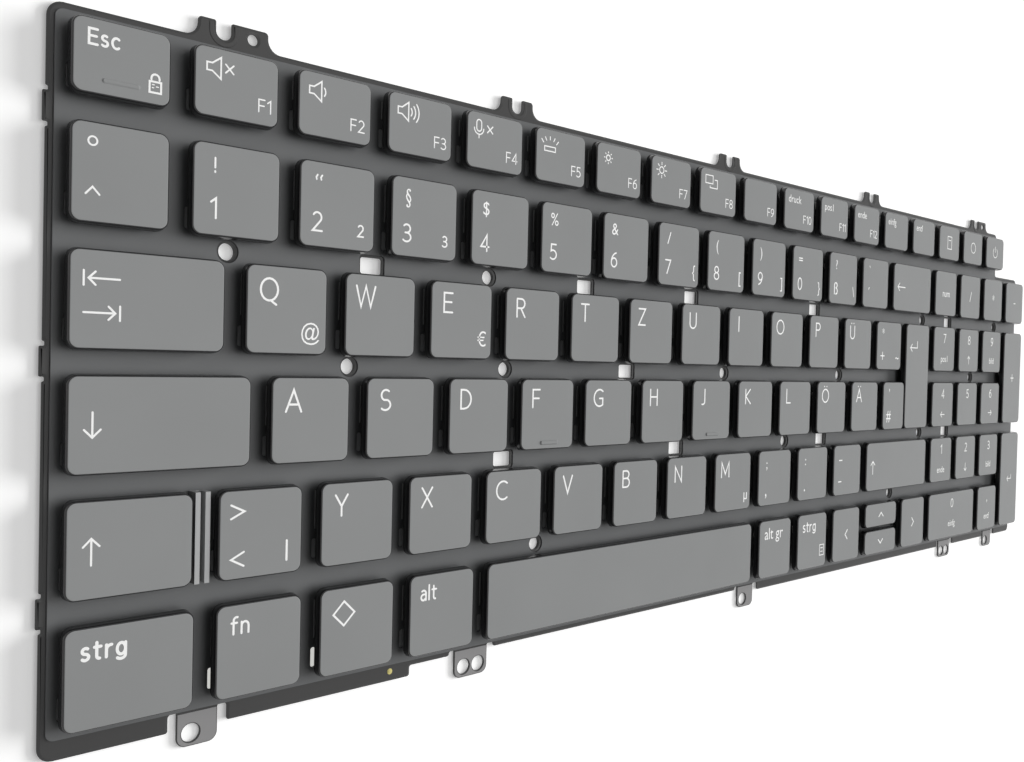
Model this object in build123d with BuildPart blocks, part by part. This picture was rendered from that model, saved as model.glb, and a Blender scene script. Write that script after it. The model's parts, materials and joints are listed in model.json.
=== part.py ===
"""Backlit scissor-switch laptop keyboard with a number pad, lying flat with its keys up.

The stack, from the bottom: a laminated backlight unit, a pressed sheet metal base plate with
screw lugs, a printed circuit membrane, rubber domes, scissor levers and hollow key caps.
+X runs along the rows, +Y from the space bar to the function row, +Z up. The origin is under
the middle of the whole outline, on the face that the keyboard lies on.
"""

import math
import os

from build123d import *

# Key field
pitch = 18.05
key_gap = 3.6
row_gap = 3.74
outer_gap = 3.95
function_depth = 10.7
bottom_depth = 14.97
enter_width = 14.55
pad_columns = 4
function_keys = 18

# Widths of the key tops that are not one pitch less the gap
degree_width = 13.97
tab_width = 23.0
caps_lock_width = 27.7
left_shift_width = 18.5
shift_well = 4.2
control_width = 18.95
modifier_width = 14.8
right_modifier_width = 14.15
arrow_pair_width = 18.2
arrow_pair_gap = 1.2
hash_gap = 0.9

# Key caps
cap_height = 1.6
cap_taper = 0.2
cap_wall = 0.9
cap_roof = 0.8
cap_corner = 0.85
key_travel = 1.5
press_clearance = 0.2
homing_bar_length = 5.0
homing_bar_width = 0.9
homing_bar_height = 0.25
homing_bar_inset = 1.35

# Sheets of the stack
backlight_thickness = 0.5
plate_thickness = 0.4
membrane_thickness = 0.3
sheet_inset = 1.0

# Base plate outline
left_margin = 2.4
right_margin = 2.6
rear_margin = 2.33
front_margin = 2.7
plate_corner = 1.4
front_step = 2.0
front_step_length = 64.8
right_step = 1.1
function_end_margin = 2.6
side_tab_length = 4.6
side_tab_reach = 0.4

# Rear lugs with open screw slots: function key in front, and slot from that key's left edge
rear_lugs = ((1, 6.2), (4, 15.5), (8, 16.1), (12, 16.0), (16, 17.3))
rear_lug_reach = 3.2
rear_lug_half = 4.2
rear_lug_extra = 3.4
slot_width = 2.6
slot_depth = 2.9
pilot_hole = 1.8
pilot_offset = 4.9

# Front screw lugs: key behind, left edge from that key's right edge, and number of holes
front_lugs = (
    ("left_control", -0.97, 1),
    ("left_alt", -1.28, 2),
    ("space", 0.12, 1),
    ("pad_0", -16.85, 2),
    ("pad_comma", -0.4, 1),
)
single_lug_width = 6.7
double_lug_width = 8.2
lug_reach = 2.9
lug_joggle = 0.3
lug_hole = 3.0
lug_hole_inset = 2.1
lug_hole_margin = 2.3
relief_width = 1.5
bend_clearance = 0.1

# Post holes that the keyboard is staked to the palm rest through
round_post = 2.8
square_post_width = 4.4
square_post_depth = 2.9
post_relief = 0.4

# Rubber domes and scissor levers
dome_sides = 5
dome_base = 2.7
dome_top = 1.5
seat_clearance = 0.1
lever_width = 10.6
lever_length = 9.2
lever_arm = 1.0
lever_thickness = 0.5
lever_gap = 0.2

# Filler with two ribs that closes the wide gap beside the left shift key
rib_width = 0.8
rib_space = 0.8
rib_inset = 0.65
rib_drop = 0.7
filler_floor = 0.5

# Heights of the stack
plate_bottom = backlight_thickness
membrane_bottom = plate_bottom + plate_thickness
sheet_top = membrane_bottom + membrane_thickness
cap_bottom = sheet_top + key_travel + press_clearance
cap_top = cap_bottom + cap_height
cap_ceiling = cap_top - cap_roof
seat_height = cap_ceiling - seat_clearance

# Plan of the whole keyboard about the origin, with the tab key's row setting its width
key_width = pitch - key_gap
key_depth = pitch - row_gap
tab_row_names = "q w e r t z u i o p u_umlaut plus"
main_width = tab_width + len(tab_row_names.split()) * pitch + key_gap + enter_width
pad_left = main_width + key_gap
field_width = main_width + pad_columns * pitch
field_depth = function_depth + 2 * outer_gap + 4 * pitch - row_gap + bottom_depth
plate_width = left_margin + field_width + right_margin
plate_depth = rear_margin + field_depth + front_margin
overall_width = side_tab_reach + plate_width
overall_depth = rear_lug_reach + plate_depth + front_step + lug_reach
plate_left = side_tab_reach - overall_width / 2
plate_right = plate_left + plate_width
plate_rear = overall_depth / 2 - rear_lug_reach
plate_front = plate_rear - plate_depth
lug_front = -overall_depth / 2
field_left = plate_left + left_margin
field_rear = plate_rear - rear_margin
function_width = pad_left + 3 * pitch - key_gap
function_key_width = (function_width + key_gap) / function_keys - key_gap


def row_rear(row):
    """Rear edge of a row of key tops, the function row being row 1 and the bottom row row 6."""
    if row == 1:
        return field_rear
    rear = field_rear - function_depth - outer_gap - (row - 2) * pitch
    return rear + row_gap - outer_gap if row == 6 else rear


def row_gap_middle(row):
    """Middle of the gap between a row and the next one in front of it."""
    gap = outer_gap if row in (1, 5) else row_gap
    return row_rear(row + 1) + gap / 2


def lay_row(row, left, names_and_widths, depth=key_depth, gap=key_gap):
    """Key tops of a row from left to right: name -> (x, y, width, depth) of each centre."""
    laid = {}
    for name, width in names_and_widths:
        laid[name] = (left + width / 2, row_rear(row) - depth / 2, width, depth)
        left += width + gap
    return laid


def standard(names):
    """Names of keys that have the standard width."""
    return [(name, key_width) for name in names.split()]


# Function row and number row
function_keys_laid = lay_row(
    1,
    field_left,
    [(f"function_{n}", function_key_width) for n in range(function_keys)],
    function_depth,
)
number_names = [("degree", degree_width)]
number_names += standard("one two three four five six seven eight nine zero sharp_s acute")
number_left = degree_width + len(number_names[1:]) * pitch + key_gap
number_names += [("backspace", main_width - number_left)]
number_keys_laid = lay_row(2, field_left, number_names)

# Letter rows
tab_row = lay_row(3, field_left, [("tab", tab_width)] + standard(tab_row_names))
enter_left = field_left + main_width - enter_width
enter_depth = pitch + key_depth
tab_row["enter"] = (
    enter_left + enter_width / 2,
    row_rear(3) - enter_depth / 2,
    enter_width,
    enter_depth,
)

home_row = lay_row(
    4,
    field_left,
    [("caps_lock", caps_lock_width)] + standard("a s d f g h j k l o_umlaut a_umlaut"),
)
a_umlaut_x, home_y, a_umlaut_width, _ = home_row["a_umlaut"]
hash_left = a_umlaut_x + a_umlaut_width / 2 + key_gap
hash_width = enter_left - hash_gap - hash_left
home_row["hash"] = (hash_left + hash_width / 2, home_y, hash_width, key_depth)

bracket_left = field_left + left_shift_width + shift_well
shift_row = lay_row(5, field_left, [("left_shift", left_shift_width)])
shift_row.update(
    lay_row(5, bracket_left, standard("angle_bracket y x c v b n m comma period minus"))
)
minus_x, shift_y, minus_width, _ = shift_row["minus"]
right_shift_left = minus_x + minus_width / 2 + key_gap
right_shift_width = field_left + main_width - right_shift_left
shift_row["right_shift"] = (
    right_shift_left + right_shift_width / 2,
    shift_y,
    right_shift_width,
    key_depth,
)

# Bottom row, where the space bar takes what the other keys leave
left_keys = [("left_control", control_width)]
left_keys += [(name, modifier_width) for name in ("fn", "system", "left_alt")]
right_keys = [(name, right_modifier_width) for name in ("alt_gr", "right_control", "arrow_left")]
right_keys += [("arrow_pair", arrow_pair_width), ("arrow_right", key_width)]
side_widths = sum(width + key_gap for _, width in left_keys + right_keys)
space_row = lay_row(
    6, field_left, left_keys + [("space", main_width - side_widths)] + right_keys, bottom_depth
)
pair_x, pair_y, pair_width, pair_depth = space_row.pop("arrow_pair")
half_depth = (pair_depth - arrow_pair_gap) / 2
half_step = (half_depth + arrow_pair_gap) / 2
space_row["arrow_up"] = (pair_x, pair_y + half_step, pair_width, half_depth)
space_row["arrow_down"] = (pair_x, pair_y - half_step, pair_width, half_depth)

# Number pad: two tall keys in the last column and a wide zero
pad_x = field_left + pad_left
pad_keys_laid = lay_row(2, pad_x, standard("num_lock divide multiply subtract"))
pad_keys_laid.update(lay_row(3, pad_x, standard("pad_7 pad_8 pad_9")))
pad_keys_laid.update(lay_row(4, pad_x, standard("pad_4 pad_5 pad_6")))
pad_keys_laid.update(lay_row(5, pad_x, standard("pad_1 pad_2 pad_3")))
pad_keys_laid.update(
    lay_row(6, pad_x, [("pad_0", pitch + key_width), ("pad_comma", key_width)], bottom_depth)
)
tall_x = pad_x + 3 * pitch + key_width / 2
pad_keys_laid["pad_plus"] = (tall_x, row_rear(3) - enter_depth / 2, key_width, enter_depth)
pad_enter_depth = row_rear(5) - row_rear(6) + bottom_depth
pad_keys_laid["pad_enter"] = (
    tall_x,
    row_rear(5) - pad_enter_depth / 2,
    key_width,
    pad_enter_depth,
)

moving_keys = {**tab_row, **home_row, **shift_row, **space_row}
fixed_groups = {
    "function_row_keycaps": function_keys_laid,
    "number_row_keycaps": number_keys_laid,
    "number_pad_keycaps": pad_keys_laid,
}
every_key = dict(moving_keys)
for group in fixed_groups.values():
    every_key.update(group)

os.makedirs("parts", exist_ok=True)
taper_angle = math.degrees(math.atan(cap_taper / cap_height))


def cap_outlines(keys):
    """Outlines of the cap skirts, each with its corners cut off."""
    for x, y, width, depth in keys.values():
        with Locations((x, y)):
            Rectangle(width + 2 * cap_taper, depth + 2 * cap_taper)
    chamfer(vertices(), length=cap_corner)


def cap_pockets(keys):
    """Insides of the caps, a wall in from the skirt."""
    for x, y, width, depth in keys.values():
        with Locations((x, y)):
            Rectangle(width - 2 * cap_wall, depth - 2 * cap_wall)


def save(part, name):
    """Label a finished piece and write it."""
    part.label = name
    export_step(part, f"parts/{name}.step")


def keycaps(keys, name, homing_bar=False):
    """Hollow tapered caps, open below, as one piece of work for one key or a row of keys."""
    with BuildPart() as caps:
        with BuildSketch(Plane.XY.offset(cap_bottom)):
            cap_outlines(keys)
        extrude(amount=cap_height, taper=taper_angle)
        with BuildSketch(Plane.XY.offset(cap_bottom)):
            cap_pockets(keys)
        extrude(amount=cap_ceiling - cap_bottom, mode=Mode.SUBTRACT)
        if homing_bar:
            x, y, _, depth = next(iter(keys.values()))
            with BuildSketch(Plane.XY.offset(cap_top)):
                with Locations((x, y - depth / 2 + homing_bar_inset)):
                    Rectangle(homing_bar_length, homing_bar_width)
            extrude(amount=homing_bar_height)
    save(caps.part, name)


for key, place in moving_keys.items():
    keycaps({key: place}, f"{key}_keycap", homing_bar=key in ("f", "j"))
for name, keys in fixed_groups.items():
    keycaps(keys, name)


def middle(key):
    """X of the middle of a key."""
    return every_key[key][0]


def right_edge(key):
    """X of the right edge of a key top."""
    return middle(key) + every_key[key][2] / 2


def after(key):
    """X of the middle of the gap to the right of a key."""
    return right_edge(key) + key_gap / 2


# Each post hole stands in a gap between two rows, behind a key or beside one
square_posts = [(middle(key), row_gap_middle(2)) for key in ("w", "t", "u", "p")]
square_posts += [(after("num_lock"), row_gap_middle(2)), (after("g"), row_gap_middle(3))]
square_posts += [(after(key), row_gap_middle(4)) for key in ("d", "h", "period", "pad_4")]
round_posts = [(after(key), row_gap_middle(2)) for key in ("tab", "e", "backspace", "multiply")]
round_posts += [(after(key), row_gap_middle(3)) for key in ("a", "d", "j", "o_umlaut", "pad_5")]
round_posts += [(after(key), row_gap_middle(4)) for key in ("comma", "right_shift")]
round_posts += [(after(key), row_gap_middle(5)) for key in ("c", "arrow_up")]


def plate_field(inset):
    """Plan of a sheet: the field with its margins, less the short function row's end."""
    with Locations(((plate_left + plate_right) / 2, (plate_rear + plate_front) / 2)):
        Rectangle(plate_width - 2 * inset, plate_depth - 2 * inset)
    end_left = field_left + function_width + function_end_margin - inset
    end_front = row_gap_middle(1) - inset
    with Locations((end_left, end_front)):
        Rectangle(plate_width, plate_depth, align=(Align.MIN, Align.MIN), mode=Mode.SUBTRACT)


def post_openings(margin):
    """Rectangular openings round all the posts."""
    with Locations(*square_posts):
        Rectangle(
            square_post_width + 2 * margin, square_post_depth + 2 * margin, mode=Mode.SUBTRACT
        )
    with Locations(*round_posts):
        Rectangle(round_post + 2 * margin, round_post + 2 * margin, mode=Mode.SUBTRACT)


def punched_round(diameter, mode=Mode.SUBTRACT):
    """Round opening in eight flats, for holes that no screw is a fit in."""
    RegularPolygon(diameter / 2, 8, major_radius=False, rotation=22.5, mode=mode)


# Base plate: blanked sheet, with the screw lugs at the front joggled down
lug_hole_y = lug_front + lug_hole_inset
lug_bend = plate_front + sheet_inset - bend_clearance
step_end = plate_left + front_step_length
lugs = []
for key, offset, holes in front_lugs:
    lug_width = single_lug_width if holes == 1 else double_lug_width
    lugs.append((right_edge(key) + offset, lug_width, holes))
# The front edge steps out a second time, from the third lug to the right end
right_step_left = lugs[2][0]
with BuildPart() as base_plate:
    with BuildSketch(Plane.XY.offset(plate_bottom)):
        plate_field(0)
        with Locations((plate_left, plate_front - front_step)):
            Rectangle(front_step_length, plate_depth, align=(Align.MIN, Align.MIN))
        with Locations((right_step_left, plate_front - right_step)):
            Rectangle(
                plate_right - right_step_left,
                right_step + front_margin,
                align=(Align.MIN, Align.MIN),
            )
        step_ends = (step_end, right_step_left)
        corners = [
            corner
            for corner in vertices()
            if min(abs(corner.X - end) for end in step_ends) > plate_corner
        ]
        chamfer(corners, length=plate_corner)
        for row in (1, 3, 5):
            with Locations((plate_left, row_gap_middle(row))):
                Rectangle(2 * side_tab_reach, side_tab_length)
        for number, offset in rear_lugs:
            extra = rear_lug_extra if number in (rear_lugs[0][0], rear_lugs[-1][0]) else 0
            x = middle(f"function_{number}") - function_key_width / 2 + offset
            with Locations((x - rear_lug_half, plate_rear - plate_corner)):
                Rectangle(
                    2 * rear_lug_half + extra,
                    rear_lug_reach + plate_corner,
                    align=(Align.MIN, Align.MIN),
                )
            slot_end = plate_rear + rear_lug_reach - slot_depth + slot_width / 2
            with Locations((x, slot_end)):
                punched_round(slot_width)
                Rectangle(
                    slot_width,
                    slot_depth,
                    align=(Align.CENTER, Align.MIN),
                    mode=Mode.SUBTRACT,
                )
            if extra:
                with Locations((x + pilot_offset, plate_rear + rear_lug_reach / 2)):
                    punched_round(pilot_hole)
        for left, width, _ in lugs:
            with Locations((left + width / 2, lug_bend)):
                Rectangle(
                    width + 2 * relief_width,
                    plate_depth,
                    align=(Align.CENTER, Align.MAX),
                    mode=Mode.SUBTRACT,
                )
        with Locations(*square_posts):
            Rectangle(square_post_width, square_post_depth, mode=Mode.SUBTRACT)
        with Locations(*round_posts):
            punched_round(round_post)
    extrude(amount=plate_thickness)
    for left, width, holes in lugs:
        with BuildSketch(Plane.YZ.offset(left)):
            with BuildLine():
                Polyline(
                    (lug_bend, membrane_bottom),
                    (lug_bend - lug_joggle, membrane_bottom - lug_joggle),
                    (lug_front, membrane_bottom - lug_joggle),
                    (lug_front, plate_bottom - lug_joggle),
                    (lug_bend - lug_joggle, plate_bottom - lug_joggle),
                    (lug_bend, plate_bottom),
                    close=True,
                )
            make_face()
        extrude(amount=width)
        with BuildSketch(Plane.XY.offset(plate_bottom - lug_joggle)):
            with Locations((left + lug_hole_margin, lug_hole_y)):
                Circle(lug_hole / 2)
            if holes == 2:
                with Locations((left + width - lug_hole_margin, lug_hole_y)):
                    punched_round(lug_hole, mode=Mode.ADD)
        extrude(amount=plate_thickness, mode=Mode.SUBTRACT)
save(base_plate.part, "base_plate")

# Circuit membrane: a film laminate on the plate, open round every post
with BuildPart() as membrane:
    with BuildSketch(Plane.XY.offset(membrane_bottom)):
        plate_field(sheet_inset)
        post_openings(post_relief)
    extrude(amount=membrane_thickness)
save(membrane.part, "membrane")

# Backlight unit: light guide between a reflector and a mask, laminated, under the plate
with BuildPart() as backlight_unit:
    with BuildSketch(Plane.XY):
        plate_field(sheet_inset)
        post_openings(post_relief)
    extrude(amount=backlight_thickness)
save(backlight_unit.part, "backlight_unit")

# Rubber domes: one under the middle of each cap, standing on the membrane
dome_angle = math.degrees(math.atan((dome_base - dome_top) / (seat_height - sheet_top)))
with BuildPart() as rubber_domes:
    with BuildSketch(Plane.XY.offset(sheet_top)):
        with Locations(*[(x, y) for x, y, _, _ in every_key.values()]):
            RegularPolygon(dome_base, dome_sides)
    extrude(amount=seat_height - sheet_top, taper=dome_angle)
save(rubber_domes.part, "rubber_domes")

# Scissor levers: an outer and an inner fork under each cap, crossed, leaning opposite ways
lever_rise = seat_height - sheet_top - lever_thickness
lever_lean = math.asin(lever_rise / lever_length)
lever_middle = (seat_height + sheet_top) / 2
fork_widths = {1: lever_width, -1: lever_width - 2 * (lever_arm + lever_gap)}
full_keys = {k: v for k, v in moving_keys.items() if v[3] > lever_length}
with BuildPart() as scissor_levers:
    for row_y in sorted({round(y, 3) for _, y, _, _ in full_keys.values()}):
        xs = [x for x, y, _, _ in full_keys.values() if abs(y - row_y) < row_gap]
        for side, fork_width in fork_widths.items():
            tilted = Plane(
                origin=(0, row_y, lever_middle),
                x_dir=(1, 0, 0),
                z_dir=(0, side * math.sin(lever_lean), math.cos(lever_lean)),
            )
            with BuildSketch(tilted):
                with Locations(*[(x, 0) for x in xs]):
                    Rectangle(fork_width, lever_length - lever_thickness)
                with Locations(*[(x, -side * lever_arm) for x in xs]):
                    Rectangle(
                        fork_width - 2 * lever_arm,
                        lever_length - lever_thickness,
                        mode=Mode.SUBTRACT,
                    )
            extrude(amount=lever_thickness / 2, both=True)
save(scissor_levers.part, "scissor_levers")

# Shift filler: a U-shaped moulding on the membrane between left shift and the next key
filler_left = field_left + left_shift_width + rib_inset
filler_width = 2 * rib_width + rib_space
with BuildPart() as shift_filler:
    with BuildSketch(Plane.XZ.offset(-shift_y - key_depth / 2)):
        with Locations((filler_left, sheet_top)):
            Rectangle(filler_width, cap_top - rib_drop - sheet_top, align=(Align.MIN, Align.MIN))
        with Locations((filler_left + rib_width, sheet_top + filler_floor)):
            Rectangle(
                rib_space, cap_height + key_travel, align=(Align.MIN, Align.MIN), mode=Mode.SUBTRACT
            )
    extrude(amount=key_depth)
save(shift_filler.part, "shift_filler")
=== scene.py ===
import json
import math

import bmesh
import bpy
from mathutils import Matrix, Vector
from mathutils.geometry import tessellate_polygon

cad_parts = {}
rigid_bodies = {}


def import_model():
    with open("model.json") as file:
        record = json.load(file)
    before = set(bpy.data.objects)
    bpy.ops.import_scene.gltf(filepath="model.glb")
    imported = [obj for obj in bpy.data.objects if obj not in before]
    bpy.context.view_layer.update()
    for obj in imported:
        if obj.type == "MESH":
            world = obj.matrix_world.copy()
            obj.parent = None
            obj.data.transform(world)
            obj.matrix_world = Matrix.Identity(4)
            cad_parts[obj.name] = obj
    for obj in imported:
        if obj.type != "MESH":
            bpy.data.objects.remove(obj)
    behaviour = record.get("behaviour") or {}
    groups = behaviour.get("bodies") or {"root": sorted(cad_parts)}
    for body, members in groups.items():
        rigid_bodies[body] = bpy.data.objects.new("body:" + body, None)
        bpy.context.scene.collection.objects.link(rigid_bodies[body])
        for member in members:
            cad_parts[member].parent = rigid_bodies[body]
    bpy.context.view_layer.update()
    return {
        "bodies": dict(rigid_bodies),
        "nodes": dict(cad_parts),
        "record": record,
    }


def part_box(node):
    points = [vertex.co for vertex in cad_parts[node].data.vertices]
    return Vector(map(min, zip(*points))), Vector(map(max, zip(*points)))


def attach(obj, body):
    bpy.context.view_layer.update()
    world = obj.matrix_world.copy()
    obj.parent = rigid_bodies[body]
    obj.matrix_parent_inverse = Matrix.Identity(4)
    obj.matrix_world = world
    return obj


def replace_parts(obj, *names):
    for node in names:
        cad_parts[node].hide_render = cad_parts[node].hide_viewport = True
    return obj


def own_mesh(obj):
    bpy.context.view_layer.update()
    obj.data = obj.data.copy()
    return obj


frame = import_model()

mm = 0.001


# Backlight unit
# A clear light guide laminated between a white reflector and black mask films, glued under the
# plate. Its smooth black film is the back of the keyboard.
drift_size = 18 * mm
sheen_spread = 0.08


def finish(name, colour, roughness, grain, relief, drift=0.0, shine=0.5):
    """A moulded, painted or laminated surface: a fine grain, and a colour that drifts a little."""
    made = bpy.data.materials.new(name)
    made.use_nodes = True
    nodes = made.node_tree.nodes
    join = made.node_tree.links.new
    shader = nodes["Principled BSDF"]
    shader.inputs["Base Color"].default_value = (*colour, 1)
    shader.inputs["Roughness"].default_value = roughness
    shader.inputs["Specular IOR Level"].default_value = shine
    place = nodes.new("ShaderNodeTexCoord").outputs["Object"]
    speckle = nodes.new("ShaderNodeTexNoise")
    speckle.inputs["Scale"].default_value = 1 / grain
    speckle.inputs["Detail"].default_value = 3
    join(place, speckle.inputs["Vector"])
    bump = nodes.new("ShaderNodeBump")
    bump.inputs["Strength"].default_value = 0.5
    bump.inputs["Distance"].default_value = relief
    join(speckle.outputs["Fac"], bump.inputs["Height"])
    join(bump.outputs["Normal"], shader.inputs["Normal"])
    sheen = nodes.new("ShaderNodeMapRange")
    sheen.inputs["To Min"].default_value = roughness - sheen_spread
    sheen.inputs["To Max"].default_value = roughness + sheen_spread
    join(speckle.outputs["Fac"], sheen.inputs["Value"])
    join(sheen.outputs["Result"], shader.inputs["Roughness"])
    if drift:
        cloud = nodes.new("ShaderNodeTexNoise")
        cloud.inputs["Scale"].default_value = 1 / drift_size
        cloud.inputs["Detail"].default_value = 2
        join(place, cloud.inputs["Vector"])
        shade = nodes.new("ShaderNodeMix")
        shade.data_type = "RGBA"
        darker, lighter = [s for s in shade.inputs if s.type == "RGBA"]
        darker.default_value = (*[c * (1 - drift) for c in colour], 1)
        lighter.default_value = (*[c * (1 + drift) for c in colour], 1)
        join(cloud.outputs["Fac"], shade.inputs["Factor"])
        join([s for s in shade.outputs if s.type == "RGBA"][0], shader.inputs["Base Color"])
    return made


black_film = finish("black_film", (0.022, 0.022, 0.024), 0.42, 0.5 * mm, 0.01 * mm, 0.12)
backlight = frame["nodes"]["backlight_unit"]
backlight.data.materials.clear()
backlight.data.materials.append(black_film)


# Base plate
# A sheet of steel blanked and bent in one piece and painted a dark satin grey; its sheared edges
# are rolled over. The rear lugs have open slots, the front lugs are set lower and have holes.
sheet_inset = 1.0 * mm
edge_roll = 0.4 * mm
edge_drop = 0.14 * mm
cap_taper = 0.2 * mm
function_names = (
    "escape f1 f2 f3 f4 f5 f6 f7 f8 f9 f10 f11 f12 insert delete top_1 top_2 top_3"
).split()
number_names = (
    "degree one two three four five six seven eight nine zero sharp_s acute backspace"
).split()
pad_names = (
    "num_lock divide multiply subtract pad_7 pad_8 pad_9 pad_plus pad_4 pad_5 pad_6 "
    "pad_1 pad_2 pad_3 pad_enter pad_0 pad_comma"
).split()
fixed_groups = {
    "function_row_keycaps": function_names,
    "number_row_keycaps": number_names,
    "number_pad_keycaps": pad_names,
}
moving_names = [body[: -len("_key")] for body in frame["bodies"] if body.endswith("_key")]


weld = 0.001 * mm


def solids_of(node):
    """Corners of each solid of a CAD node, rear ones first and each row from the left."""
    bm = bmesh.new()
    bm.from_mesh(frame["nodes"][node].data)
    bmesh.ops.remove_doubles(bm, verts=bm.verts, dist=weld)
    left_over = set(bm.verts)
    found = []
    while left_over:
        reach = [left_over.pop()]
        island = []
        while reach:
            here = reach.pop()
            island.append(here.co.copy())
            for edge in here.link_edges:
                there = edge.other_vert(here)
                if there in left_over:
                    left_over.remove(there)
                    reach.append(there)
        low = Vector([min(p[i] for p in island) for i in range(3)])
        high = Vector([max(p[i] for p in island) for i in range(3)])
        found.append((low, high))
    bm.free()
    return sorted(found, key=lambda box: (-round(box[1].y / mm), box[0].x))


class Top:
    """Outline of one key top: its edges and its middle."""

    def __init__(self, low, high):
        self.left, self.right = low.x + cap_taper, high.x - cap_taper
        self.front, self.rear = low.y + cap_taper, high.y - cap_taper
        self.x, self.y = (self.left + self.right) / 2, (self.front + self.rear) / 2
        self.width, self.depth = self.right - self.left, self.rear - self.front


tops = {name: Top(*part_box(f"{name}_keycap")) for name in moving_names}
for node, names in fixed_groups.items():
    tops.update({name: Top(*corners) for name, corners in zip(names, solids_of(node))})


def facing(loop, turn):
    """The loop run counter-clockwise for turn 1 and clockwise for turn -1."""
    area = sum(loop[i - 1].cross(loop[i]) for i in range(len(loop)))
    return loop if area * turn > 0 else loop[::-1]


arc_step = math.radians(14)
least_step = 0.004 * mm


def rounded(corners):
    """Closed outline through corners (x, y, radius), each turned in an arc."""
    outline = []
    for i, (x, y, radius) in enumerate(corners):
        here = Vector((x, y))
        before = (Vector(corners[i - 1][:2]) - here).normalized()
        behind = (Vector(corners[(i + 1) % len(corners)][:2]) - here).normalized()
        if radius == 0:
            outline.append(here)
            continue
        half = before.angle(behind) / 2
        centre = here + (before + behind).normalized() * (radius / math.sin(half))
        spoke = here + before * (radius / math.tan(half)) - centre
        last = here + behind * (radius / math.tan(half)) - centre
        start = math.atan2(spoke.y, spoke.x)
        turn = (math.atan2(last.y, last.x) - start + math.pi) % (2 * math.pi) - math.pi
        steps = max(3, math.ceil(abs(turn) / arc_step))
        for step in range(steps + 1):
            angle = start + turn * step / steps
            outline.append(centre + radius * Vector((math.cos(angle), math.sin(angle))))
    return [p for i, p in enumerate(outline) if (p - outline[i - 1]).length > least_step]


def circle(x, y, radius, steps=32):
    """Round outline."""
    turns = [2 * math.pi * i / steps for i in range(steps)]
    return [Vector((x + radius * math.cos(a), y + radius * math.sin(a))) for a in turns]


def rectangle(x, y, width, depth, radius):
    """Rectangular outline about a middle, with round corners."""
    a, b = width / 2, depth / 2
    signs = ((-1, -1), (1, -1), (1, 1), (-1, 1))
    return rounded([(x + i * a, y + j * b, radius) for i, j in signs])


sharpest = 0.35


def inset(loop, distance):
    """The loop moved to its left by a distance, which is into a counter-clockwise outline."""
    moved = []
    for i, here in enumerate(loop):
        before = (here - loop[i - 1]).normalized()
        behind = (loop[(i + 1) % len(loop)] - here).normalized()
        side = Vector((-before.y - behind.y, before.x + behind.x)).normalized()
        share = max(sharpest, side.dot(Vector((-before.y, before.x))))
        moved.append(here + side * (distance / share))
    return moved


def add_sheet(bm, outline, holes, bottom, top, roll=0.0, drop=0.0, face=0, edge=0):
    """A sheet between two heights, its upper edges rolled over by roll across and drop down."""
    loops = [facing(outline, 1)] + [facing(hole, -1) for hole in holes]
    upper = [inset(loop, roll) for loop in loops] if roll else loops
    levels = [[[bm.verts.new((p.x, p.y, top)) for p in loop] for loop in upper]]
    if roll:
        levels.append([[bm.verts.new((p.x, p.y, top - drop)) for p in loop] for loop in loops])
    levels.append([[bm.verts.new((p.x, p.y, bottom)) for p in loop] for loop in loops])
    for level in (levels[0], levels[-1]):
        verts = [v for ring in level for v in ring]
        for corners in tessellate_polygon([[v.co for v in ring] for ring in level]):
            made = bm.faces.new([verts[i] for i in corners])
            made.material_index = face
    for above, below in zip(levels, levels[1:]):
        for ring, under in zip(above, below):
            for i in range(len(ring)):
                made = bm.faces.new((ring[i - 1], ring[i], under[i], under[i - 1]))
                made.material_index = edge


def piece(name, bm, body, slot, *finishes):
    """The mesh as a piece that rides on a body, with its faces turned outwards."""
    bmesh.ops.recalc_face_normals(bm, faces=bm.faces)
    mesh = bpy.data.meshes.new(name)
    bm.to_mesh(mesh)
    bm.free()
    for material in finishes:
        mesh.materials.append(material)
    made = bpy.data.objects.new(name, mesh)
    bpy.context.scene.collection.objects.link(made)
    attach(made, body)
    return made


def gap_behind(key, behind):
    """Y of the middle of the gap between the rows of two keys."""
    return (tops[key].rear + tops[behind].front) / 2


plate_low, plate_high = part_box("base_plate")
film_low, film_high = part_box("membrane")
plate_left, plate_right = film_low.x - sheet_inset, film_high.x + sheet_inset
plate_front, plate_rear = film_low.y - sheet_inset, film_high.y + sheet_inset
plate_top, film_top = film_low.z, film_high.z
plate_thickness = 0.4 * mm
plate_bottom = plate_top - plate_thickness
key_gap = tops["w"].left - tops["q"].right
row_gaps = [
    gap_behind(*pair) for pair in (("one", "f1"), ("w", "two"), ("s", "w"), ("x", "s"), ("fn", "x"))
]
cut_margin = 2.6 * mm
cut_x = tops["top_3"].right + cut_margin
cut_y = row_gaps[0]
front_step = 2.0 * mm
right_step = 1.1 * mm
step_length = 64.5 * mm
step_end = plate_left + step_length
mounts = {m["name"]: Vector(m["pos_m"]) for m in frame["record"]["mounts"]}
lug_width = {1: 6.7 * mm, 2: 8.2 * mm}
hole_margin = 2.3 * mm
relief = 1.5 * mm
joggle = 0.3 * mm
lug_bend = plate_front + 0.9 * mm
front_lugs = []
for i, holes in enumerate((1, 2, 1, 2, 1), 1):
    front_lugs.append((mounts[f"front_lug_hole_{i}"], holes))
slot_width = 2.6 * mm
slot_depth = 2.9 * mm
lug_half = 4.2 * mm
lug_extra = 3.4 * mm
slots = [mounts[f"rear_lug_slot_{i}"] for i in range(1, 6)]
square_posts = [(tops[key].x, row_gaps[1]) for key in "wtup"]
for key, gap in (("num_lock", 1), ("g", 2), ("d", 3), ("h", 3), ("period", 3), ("pad_4", 3)):
    square_posts.append((tops[key].right + key_gap / 2, row_gaps[gap]))
round_posts = []
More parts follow.
